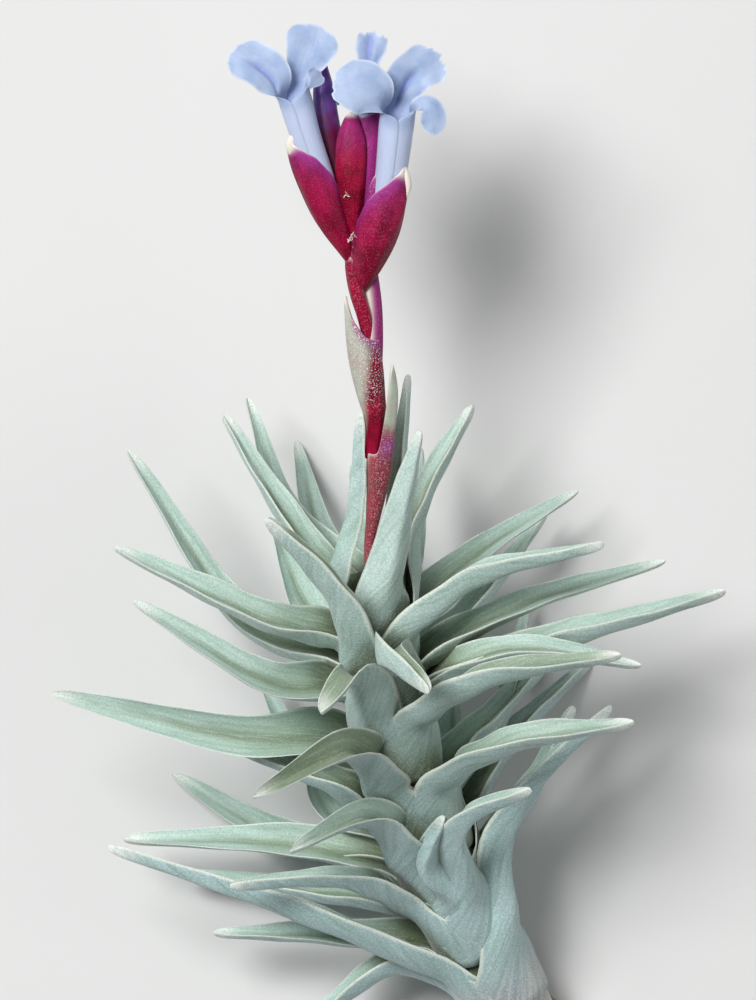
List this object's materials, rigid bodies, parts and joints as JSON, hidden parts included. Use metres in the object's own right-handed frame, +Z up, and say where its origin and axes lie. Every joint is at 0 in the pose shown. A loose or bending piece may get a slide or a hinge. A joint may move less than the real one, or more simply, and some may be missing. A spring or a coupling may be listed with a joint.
{
  "type": "tillandsia tenuifolia cocoensis",
  "caption": "Flowering silvery air plant with a leafy stem, a crimson bracted stalk and lavender tube flowers, lying on its side.",
  "frame": {"origin": "middle of the plant's outline as seen from above, at the level of the surface that the plant lies on", "axes": "+X across the plant to the right as seen from above, +Y from the old stem towards the flowers, +Z up from the surface"},
  "size_m": [0.0849, 0.1315, 0.0499],
  "materials": {
    "leaf": "matt silvery green with fine scales, whitish blunt tips and olive channels",
    "dry_stem": "dry, papery and streaked grey brown",
    "bract": "satin crimson with magenta margins, cream tips and pale specks",
    "petal": "thin and slightly translucent lavender white",
    "bud": "satin violet above, dark crimson below"
  },
  "bodies": {
    "root": {"leafy_stem": "leaf", "old_stem": "dry_stem", "flower_stalk": "bract", "flower_bracts": "bract", "flower_left": "petal", "flower_right": "petal", "flower_back": "petal", "flower_bud": "bud"}
  },
  "joints": []
}
